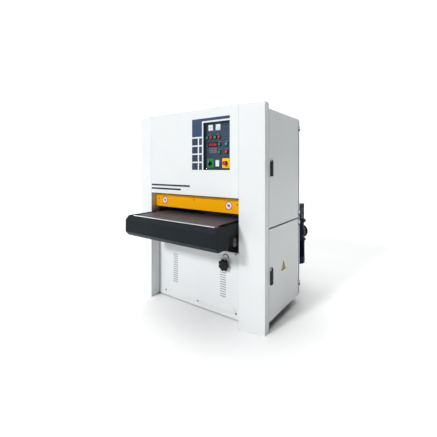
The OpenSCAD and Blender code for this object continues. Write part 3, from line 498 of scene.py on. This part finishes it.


# ---- Sanding belts: cloth loops over each head's two rollers ----


def sanding_belt(side):
    """An endless belt, grit outwards, round a head's two rollers."""
    low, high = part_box(side + "_sanding_belt")
    rollers = []
    for roller in ("_contact_roller", "_tension_roller"):
        a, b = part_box(side + roller)
        rollers.append((Vector(((a.y + b.y) / 2, (a.z + b.z) / 2)), (b.y - a.y) / 2))
    (lower, lower_r), (upper, upper_r) = rollers
    thick = (high.y - low.y) / 2 - lower_r
    lean = math.asin((lower_r - upper_r) / (upper - lower).length)
    bm = bmesh.new()
    rings = []
    for x, extra in ((low.x, thick), (high.x, thick), (high.x, 0.0), (low.x, 0.0)):
        ring = []
        for centre, radius, start, stop in ((lower, lower_r, math.pi - lean, 2 * math.pi + lean),
                                            (upper, upper_r, lean, math.pi - lean)):
            for k in range(49):
                t = start + (stop - start) * k / 48
                reach = radius + extra
                ring.append(bm.verts.new((x, centre.x + reach * math.cos(t), centre.y + reach * math.sin(t))))
        rings.append(ring)
    for n, (a, b) in enumerate(zip(rings, rings[1:] + rings[:1])):
        for k in range(len(a)):
            face = bm.faces.new((a[k], a[(k + 1) % len(a)], b[(k + 1) % len(b)], b[k]))
            face.material_index = 0 if n == 0 else 1
    belt = from_bmesh(side + "_grit_belt", bm, "frame", "abrasive_cloth", grit_cloth, cloth_back)
    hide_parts(side + "_sanding_belt")
    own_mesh(belt)


sanding_belt("front")
sanding_belt("rear")


# ---- Places taken from the frame ----

panel_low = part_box("upper_front_panel")[0]
front_y = panel_low.y
recess_low, recess_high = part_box("control_panel")
recess_depth = 0.036
face_y = front_y + recess_depth
guard_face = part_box("feed_guard")[0].y
lower_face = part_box("lower_front_panel")[0].y
OUT = -Y                                   # towards the operator


# ---- Decals on the upper front panel: plain bands and squares, with no lettering ----

def front_band(name, x0, x1, z0, z1, material, corner=0.0006):
    return plate(name, ((x0 + x1) / 2, front_y, (z0 + z1) / 2), x1 - x0, z1 - z0, 0.0004, corner, OUT,
                 "frame", "panel_plastic", material, bevel=0.0001)


left_edge, block_edge = 0.026, 0.152       # the decal block's sides
front_band("decal_block", left_edge, block_edge, 1.735, 1.909, vinyl_blue)
front_band("decal_top_band", block_edge, recess_high.x + 0.002, recess_high.z + 0.016, 1.909, vinyl_blue)
for row, (z0, z1) in enumerate(((1.654, 1.721), (1.574, 1.641), (1.494, 1.561), (1.413, 1.481))):
    front_band("decal_wide_%d" % row, left_edge, 0.1, z0, z1, vinyl_square)
    front_band("decal_narrow_%d" % row, 0.115, block_edge, z0, z1, vinyl_square)
front_band("decal_stripe_upper", panel_low.x + 0.004, -0.004, 1.241, 1.259, vinyl_dark)
front_band("decal_stripe_lower", panel_low.x + 0.004, -0.126, 1.202, 1.220, vinyl_dark)


# ---- Control panel ----

def on_panel(x, z):
    """A spot on the recess's face, from the recess's lower left corner."""
    return Vector((recess_low.x + x, face_y, recess_low.z + z))


def frame_ring(name, centre, width, height, rim, depth, material):
    """A raised frame round a window, with an inset sill."""
    bm = bmesh.new()
    outer = plate_outline(width, height, 0.003)
    inner = plate_outline(width - 2 * rim, height - 2 * rim, 0.0015)
    rings = []
    eased = plate_outline(width - 0.003, height - 0.003, 0.003)
    steps = ((outer, 0.0), (outer, depth * 0.8), (eased, depth), (inner, depth), (inner, 0.001))
    for outline, proud in steps:
        rings.append([bm.verts.new(centre + X * a + Z * b + OUT * proud) for a, b in outline])
    for a, b in zip(rings, rings[1:]):
        for k in range(len(a)):
            bm.faces.new((a[k], a[(k + 1) % len(a)], b[(k + 1) % len(b)], b[k]))
    return from_bmesh(name, bm, "frame", "meter_plastic", material, bevel=0.0003)


def dial_meter(name, x, z, width, height):
    """An ammeter: a frame, a card with its scale and needle, and a clear window."""
    at = on_panel(x, z)
    frame_ring(name + "_rim", at, width, height, 0.004, 0.009, pale)
    plate(name + "_card", at, width - 0.007, height - 0.007, 0.003, 0.001, OUT,
          "frame", "meter_plastic", dial_card_painted_glow)
    bm = bmesh.new()
    pivot = at + OUT * 0.0031 - Z * height * 0.22
    reach = width * 0.34
    for k in range(11):
        t = math.radians(40 + 10 * k)
        along = Vector((math.cos(t), 0, math.sin(t)))
        long = 0.0045 if k % 5 == 0 else 0.0028
        mid = pivot + along * (reach - long / 2)
        flat_shape(bm, plate_outline(0.0007, long, 0.0002, 1), mid, OUT, 0.0002, along)
    t = math.radians(118)
    along = Vector((math.cos(t), 0, math.sin(t)))
    needle = [(-0.0007, 0), (0.0007, 0), (0.0002, reach * 0.95), (-0.0002, reach * 0.95)]
    flat_shape(bm, needle, pivot, OUT, 0.0006, along)
    turned_shape(bm, [(0.003, 0), (0.003, 0.0012), (0.0, 0.0014)], pivot, OUT, 20)
    from_bmesh(name + "_scale", bm, "frame", "panel_plastic", black)
    plate(name + "_window", at + OUT * 0.0062, width - 0.0085, height - 0.0085, 0.0012, 0.001, OUT,
          "frame", "meter_plastic", window)


dial_meter("left_ammeter", 0.066, 0.405, 0.054, 0.054)
dial_meter("right_ammeter", 0.154, 0.405, 0.054, 0.054)
dial_meter("hour_meter", 0.146, 0.063, 0.042, 0.06)

display_at = on_panel(0.091, 0.242)
frame_ring("display_rim", display_at, 0.112, 0.038, 0.004, 0.009, black)
plate("display_window", display_at, 0.105, 0.031, 0.0035, 0.001, OUT, "frame", "panel_plastic", display_red)
bm = bmesh.new()
SEGMENTS = ((0, 1, 1), (0, 0, 1), (0, -1, 1), (-1, 0.5, 0), (1, 0.5, 0), (-1, -0.5, 0), (1, -0.5, 0))
for place_x, skipped in ((-0.036, 1), (-0.018, 4), (0.0, 5), (0.018, 3), (0.036, 0)):
    for k, (sx, sz, across) in enumerate(SEGMENTS):
        if k == skipped:
            continue
        long, thin = (0.006, 0.0014) if across else (0.0014, 0.0075)
        spot = display_at + X * (place_x + sx * 0.0042) + Z * (sz * 0.009) + OUT * 0.0036
        flat_shape(bm, plate_outline(long, thin, 0.0005, 2), spot, OUT, 0.0003)
from_bmesh("display_digits", bm, "frame", "panel_plastic", digit_red)

keypad_at = on_panel(0.091, 0.186)
plate("keypad_sheet", keypad_at, 0.094, 0.06, 0.0016, 0.003, OUT,
      "frame", "panel_plastic", key_grey, bevel=0.0003)
for name, columns, material in (("keypad_keys", range(4), key_cap), ("keypad_end_keys", (4,), key_rose)):
    bm = bmesh.new()
    for col in columns:
        for row in range(3):
            spot = keypad_at + X * ((col - 2) * 0.0175) + Z * ((row - 1) * 0.018) + OUT * 0.0016
            flat_shape(bm, plate_outline(0.0135, 0.0135, 0.002, 3), spot, OUT, 0.0009)
    from_bmesh(name, bm, "frame", "panel_plastic", material, bevel=0.0004)

# The plates behind the switch and the stop, and pale blank label strips over the buttons
switch_at, stop_at = on_panel(0.059, 0.063), on_panel(0.24, 0.063)
plate("switch_plate", switch_at, 0.08, 0.09, 0.0025, 0.004, OUT, "frame", "green_plastic", green_plate)
plate("stop_plate", stop_at, 0.08, 0.09, 0.0025, 0.004, OUT, "frame", "guard_paint", yellow)
bm = bmesh.new()
short_label, long_label = 0.03, 0.15
for x, z, wide in ((0.05, 0.338, short_label), (0.144, 0.338, short_label), (0.17, 0.268, short_label),
                   (0.25, 0.268, short_label), (0.17, 0.195, short_label), (0.25, 0.195, short_label),
                   (0.11, 0.372, long_label)):
    flat_shape(bm, plate_outline(wide, 0.0035, 0.001, 2), on_panel(x, z), OUT, 0.0006)
from_bmesh("label_strips", bm, "frame", "meter_plastic", label_blue)

# A blank outline diagram of the two heads over the feed, beside the meters
bm = bmesh.new()
for x, z, wide, tall in ((0.242, 0.300, 0.094, 0.0016), (0.242, 0.430, 0.094, 0.0016),
                         (0.195, 0.365, 0.0016, 0.131), (0.289, 0.365, 0.0016, 0.131),
                         (0.242, 0.322, 0.078, 0.0022), (0.242, 0.338, 0.078, 0.0022)):
    flat_shape(bm, plate_outline(wide, tall, 0.0004, 1), on_panel(x, z), OUT, 0.0004)
for x in (0.222, 0.262):
    for z, r in ((0.358, 0.011), (0.404, 0.008)):
        turned_shape(bm, [(r, 0), (r, 0.0004), (r - 0.002, 0.0004), (r - 0.002, 0)], on_panel(x, z), OUT, 28)
    for dx in (-0.0095, 0.0095):
        flat_shape(bm, plate_outline(0.0014, 0.046, 0.0004, 1), on_panel(x + dx, 0.381), OUT, 0.0004)
from_bmesh("head_diagram", bm, "frame", "panel_plastic", line_blue)
screws("panel_face_screws", [on_panel(x, z) for x in (0.014, 0.291) for z in (0.014, 0.226, 0.438)], OUT,
       "frame", "screw_steel", bright, 0.004, 0.0025)

BUTTONS = {"front_head_start": green, "front_head_stop": red, "rear_head_start": green, "rear_head_stop": red,
           "table_up": green, "table_down": teal, "feed_start": green, "feed_stop": red}
for name, colour in BUTTONS.items():
    low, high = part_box(name)
    centre = Vector(((low.x + high.x) / 2, 0, (low.z + high.z) / 2))
    r = (high.x - low.x) / 2
    rest = Vector((centre.x, low.y, centre.z))
    stem_end = high.y - low.y
    profile = [(0, 0.0), (r * 0.55, 0.0002), (r * 0.84, 0.0008), (r * 0.96, 0.0022), (r, 0.0045),
               (r, 0.0095), (0.007, 0.0095), (0.007, stem_end), (0, stem_end)]
    cap = lathe(name + "_cap", profile, rest, Y, name, "green_plastic", colour)
    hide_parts(name)
    seat = Vector((centre.x, face_y, centre.z))
    profile = [(r + 0.0008, 0.0), (r + 0.0008, 0.0056), (r + 0.0018, 0.0064), (r + 0.0032, 0.0062),
               (r + 0.0046, 0.004), (r + 0.0052, 0.0)]
    lathe(name + "_bezel", profile, seat, OUT, "frame", "panel_plastic", soft_black)
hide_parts("panel_meters")

low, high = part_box("emergency_stop")
top = Vector((stop_at.x, low.y, stop_at.z))
mushroom = lathe("stop_mushroom", [(0, 0), (0.008, 0.0003), (0.015, 0.0016), (0.0198, 0.0045), (0.022, 0.009),
                                   (0.0216, 0.0125), (0.019, 0.0155), (0.0125, 0.0185), (0.0108, 0.022),
                                   (0.0108, 0.027), (0.007, 0.0275), (0.007, 0.052), (0, 0.052)],
                 top, Y, "emergency_stop", "red_plastic", red)
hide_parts("emergency_stop")
collar = [(0.0114, 0.0025), (0.0114, 0.0075), (0.0135, 0.0085), (0.0185, 0.0075), (0.0205, 0.0025)]
lathe("stop_collar", collar, stop_at, OUT, "frame", "panel_plastic", soft_black)

low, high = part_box("rotary_switch")
bm = bmesh.new()
knob_base = [(0, 0.0165), (0.0145, 0.0165), (0.0175, 0.0155), (0.019, 0.0125), (0.019, 0.003), (0.0, 0.003)]
turned_shape(bm, knob_base, switch_at, OUT, 40)
add_block(bm, switch_at + Vector((-0.0045, -0.0295, -0.0225)), switch_at + Vector((0.0045, -0.0125, 0.0225)))
knob = from_bmesh("switch_knob", bm, "rotary_switch", "black_plastic", black, bevel=0.0018, segments=3)
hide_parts("rotary_switch")
plate("switch_pointer", switch_at + OUT * 0.0295 + Z * 0.0135, 0.0022, 0.014, 0.0004, 0.0006, OUT,
      "rotary_switch", "meter_plastic", vinyl_white, bevel=0.0001)


# ---- Feed guard ----

sign_x, sign_z = 0.42, 1.081
guard_screw_x, guard_screw_z = 0.514, 1.095
for side, x in (("left", -sign_x), ("right", sign_x)):
    spot = Vector((x, guard_face, sign_z))
    lathe("sign_disc_" + side, [(0, 0.0008), (0.041, 0.0008), (0.0415, 0.0)], spot, OUT,
          "feed_guard", "meter_plastic", vinyl_white)
    ring = [(0.0325, 0.0008), (0.0328, 0.0013), (0.0408, 0.0013), (0.0412, 0.0008)]
    lathe("sign_ring_" + side, ring, spot, OUT, "feed_guard", "red_plastic", vinyl_red)
    plate("sign_mark_" + side, spot + OUT * 0.0008, 0.03, 0.018, 0.0003, 0.008, OUT,
          "feed_guard", "black_plastic", vinyl_dark, bevel=0.0001)
    plate("sign_bar_" + side, spot + OUT * 0.0011, 0.0055, 0.068, 0.0002, 0.0005, OUT,
          "feed_guard", "red_plastic", vinyl_red, bevel=0.0, up=(-1, 0, 1))
screws("guard_screws", [Vector((x, guard_face, guard_screw_z)) for x in (-guard_screw_x, guard_screw_x)], OUT,
       "feed_guard", "screw_steel", black_steel, 0.007, 0.004)
plate("guard_notch_plate", (-0.005, guard_face, 1.114), 0.006, 0.034, 0.0015, 0.002, OUT,
      "feed_guard", "black_plastic", black)


# ---- Table: the belt's take-up brackets, seen through the windows in the cover ----

bracket_back, bracket_face = 0.561, 0.5645
for side, tag in ((-1, "left"), (1, "right")):
    x0, x1 = sorted((side * bracket_back, side * bracket_face))
    blocks("take_up_bracket_" + tag, [((x0, front_y - 0.074, 0.748), (x1, front_y - 0.036, 0.822)),
                                      ((x0, front_y - 0.082, 0.776), (x1, front_y - 0.028, 0.790))],
           "table", "roller_steel", iron, bevel=0.0015)
    spots = [Vector((side * bracket_face, front_y - 0.055, z)) for z in (0.76, 0.808)]
    hex_bolts("take_up_bolts_" + tag, spots, X * side, "table", "screw_steel", black_steel, 0.005, 0.0024)


# ---- Lower front panel ----

wheel_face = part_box("lift_handwheel")[0].y
wheel_x, wheel_z = 0.345, 0.505
wheel_r, lobe_h = 0.047, 0.011          # the rim between its lobes, and a lobe's height
bm = bmesh.new()
lobes, steps = 7, 140
rim_profile = ((0.0, 0.0), (0.55, 0.0), (0.9, 0.002), (1.0, 0.008), (1.0, 0.018), (0.9, 0.024),
               (0.4, 0.026), (0.0, 0.026))     # a share of the radius, and the distance along the axis
hub = Vector((wheel_x, wheel_face + 0.004, wheel_z))
rings = []
for share, along in rim_profile:
    if share == 0:
        rings.append([bm.verts.new(hub + Y * along)])
        continue
    ring = []
    for k in range(steps):
        t = 2 * math.pi * k / steps
        wave = 0.5 + 0.5 * math.cos(lobes * t)
        radius = share * (wheel_r + lobe_h * wave ** 0.6)
        ring.append(bm.verts.new(hub + Y * along + X * radius * math.cos(t) + Z * radius * math.sin(t)))
    rings.append(ring)
for a, b in zip(rings, rings[1:]):
    for k in range(steps):
        corners = [a[k % len(a)], a[(k + 1) % len(a)], b[(k + 1) % len(b)], b[k % len(b)]]
        bm.faces.new(list(dict.fromkeys(corners)))
shaft = [(0.019, 0.024), (0.019, 0.034), (0.016, 0.036), (0.008, 0.036), (0.008, 0.11), (0, 0.11)]
turned_shape(bm, shaft, hub, Y, 40)
wheel = from_bmesh("star_handwheel", bm, "lift_handwheel", "black_plastic", black)
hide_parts("lift_handwheel")
lathe("handwheel_cap", [(0, -0.0035), (0.009, -0.003), (0.0125, -0.001), (0.013, 0.001)], hub, Y,
      "lift_handwheel", "black_plastic", soft_black)

# The turning arrow over the handwheel: an arc with a head, and no words
bm = bmesh.new()
arc_at = Vector((0.349, lower_face, 0.570))


def on_arc(radius, degrees):
    return radius * math.cos(math.radians(degrees)), radius * math.sin(math.radians(degrees))


outline = [on_arc(0.037, a) for a in range(24, 163, 6)] + [on_arc(0.026, a) for a in range(162, 23, -6)]
flat_shape(bm, outline[::-1], arc_at, OUT, 0.0004)
flat_shape(bm, [on_arc(0.043, 24), on_arc(0.020, 24), on_arc(0.0315, -8)], arc_at, OUT, 0.0004)
from_bmesh("turn_arrow", bm, "frame", "black_plastic", key_grey)

# The vents: a dark sheet behind the holes, painted shade that keeps light from showing through them, and dark
# discs between the holes, painted shade standing in for more, smaller holes
vent_starts = (-0.3445, 0.285)
vent_bottom = 0.19
vent_columns, vent_rows = 4, 14
column_pitch, row_pitch = 0.017, 0.02295
shade_sheet_margin, shade_sheet_depth = 0.008, 0.0045
shade_dot_r = 0.0036
bm = bmesh.new()
for x in vent_starts:
    low = Vector((x - shade_sheet_margin, lower_face + shade_sheet_depth, vent_bottom - shade_sheet_margin))
    add_block(bm, low, (low.x + 0.0755, low.y + 0.001, 0.497))
from_bmesh("vent_shade_sheets", bm, "frame", "black_plastic", soft_black)
# Dark discs on the panel face: painted shade in place of holes
bm = bmesh.new()
for x in vent_starts:
    for i in range(vent_columns):
        for j in range(vent_rows):
            shift = 0.5 if j % 2 == 0 else 0.0
            spot = (x + (i + shift) * column_pitch, lower_face, vent_bottom + j * row_pitch)
            turned_shape(bm, [(shade_dot_r, 0.0), (shade_dot_r, 0.0003), (0, 0.0003)], spot, OUT, 10)
from_bmesh("vent_shade_dots", bm, "frame", "black_plastic", soft_black)

screw_x, screw_low, screw_high = 0.465, 0.062, 0.62
spots = [Vector((x, lower_face, z)) for x, z in (
    (-screw_x, screw_low), (0.0, screw_low), (screw_x, screw_low), (-screw_x, screw_high), (screw_x, screw_high))]
screws("lower_panel_screws", spots, OUT, "frame", "screw_steel", black, 0.008, 0.004)


# ---- Rear covers: their fixing screws ----

rear_low, rear_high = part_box("rear_covers")
rear_middle = (rear_low.z + rear_high.z) / 2
spots = [Vector((x, rear_high.y, z)) for x in (rear_low.x + 0.022, rear_high.x - 0.022)
         for z in (rear_low.z + 0.03, rear_middle - 0.2, rear_middle + 0.2, rear_high.z - 0.03)]
screws("rear_cover_screws", spots, Y, "frame", "screw_steel", black_steel, 0.008, 0.004)


# ---- Right-hand doors ----

bm = bmesh.new()
side = 0.105
triangle = [(-side / 2, -side * 0.289), (side / 2, -side * 0.289), (0, side * 0.577)]
door_face = 0.805
sign_at = Vector((door_face, front_y + 0.432, 0.49))
flat_shape(bm, triangle, sign_at, X, 0.0005)
from_bmesh("sign_triangle_edge", bm, "right_lower_door", "black_plastic", vinyl_dark)
bm = bmesh.new()
flat_shape(bm, [(a * 0.72, b * 0.72) for a, b in triangle], sign_at + X * 0.0005, X, 0.0003)
from_bmesh("sign_triangle_field", bm, "right_lower_door", "guard_paint", sign_yellow)
plate("sign_triangle_mark", sign_at + X * 0.0008 - Z * 0.003, 0.009, 0.03, 0.0003, 0.004, X,
      "right_lower_door", "black_plastic", vinyl_dark, bevel=0.0001)


# ---- Camera, lights and floor ----

camera = bpy.data.cameras.new("camera")
camera.lens, camera.sensor_width = 23.78, 36.0
camera.shift_y = -0.115
eye = bpy.data.objects.new("camera", camera)
scene.collection.objects.link(eye)
eye.location = (1.9139, front_y - 2.1733, 1.4294)
eye.rotation_euler = (math.radians(90), 0, math.radians(35.75))
camera.clip_start, camera.clip_end = 0.05, 60
scene.camera = eye

# A white studio: brightest behind and left, dim in front and on the right, with a low key from the front
# and a soft light from above
world = bpy.data.worlds.new("studio")
scene.world = world
world.use_nodes = True
sky = world.node_tree
background = sky.nodes["Background"]
direction = sky.nodes.new("ShaderNodeTexCoord")
parts = sky.nodes.new("ShaderNodeSeparateXYZ")
sky.links.new(direction.outputs["Generated"], parts.inputs["Vector"])
product = sky.nodes.new("ShaderNodeMath")
product.operation = "MULTIPLY"
for slot, (axis, low, high, a, b) in enumerate((("X", 0.05, 0.5, 1.16, 0.1), ("Y", -0.45, 0.1, 0.22, 1.0))):
    fall = sky.nodes.new("ShaderNodeMapRange")
    fall.interpolation_type = "SMOOTHSTEP"
    for name, value in (("From Min", low), ("From Max", high), ("To Min", a), ("To Max", b)):
        fall.inputs[name].default_value = value
    sky.links.new(parts.outputs[axis], fall.inputs["Value"])
    sky.links.new(fall.outputs["Result"], product.inputs[slot])
sky.links.new(product.outputs["Value"], background.inputs["Strength"])
background.inputs["Color"].default_value = (0.99, 1.0, 1.0, 1.0)

key = bpy.data.lights.new("key", "SUN")
key.energy, key.angle = 1.95, math.radians(9)
key_object = bpy.data.objects.new("key", key)
scene.collection.objects.link(key_object)
key_object.rotation_euler = Vector((0.2, 0.9, -0.5)).to_track_quat("-Z", "Y").to_euler()
top = bpy.data.lights.new("top", "SUN")
top.energy, top.angle = 1.5, math.radians(60)
top_object = bpy.data.objects.new("top", top)
scene.collection.objects.link(top_object)
top_object.rotation_euler = Vector((0.12, 0.15, -1.0)).to_track_quat("-Z", "Y").to_euler()


floor_material = Shader("studio_floor")
floor_material.colour(floor_material.mix(floor_material.ramp(floor_material.noise(1.6, 4.0), 0.3, 0.7),
                                         (0.94, 0.94, 0.94), (0.92, 0.92, 0.92)))
floor_material.rough(floor_material.ramp(floor_material.noise(30.0, 3.0), 0.3, 0.7, 0.6, 0.75))
floor_material.bump(floor_material.noise(240.0, 2.0), 0.03)
bm = bmesh.new()
bmesh.ops.create_grid(bm, x_segments=2, y_segments=2, size=30.0)
floor_mesh = bpy.data.meshes.new("floor")
bm.to_mesh(floor_mesh)
bm.free()
floor_mesh.materials.append(floor_material.material)
floor = bpy.data.objects.new("floor", floor_mesh)
floor.location.z = -0.0005
scene.collection.objects.link(floor)

scene.view_settings.view_transform = "Standard"
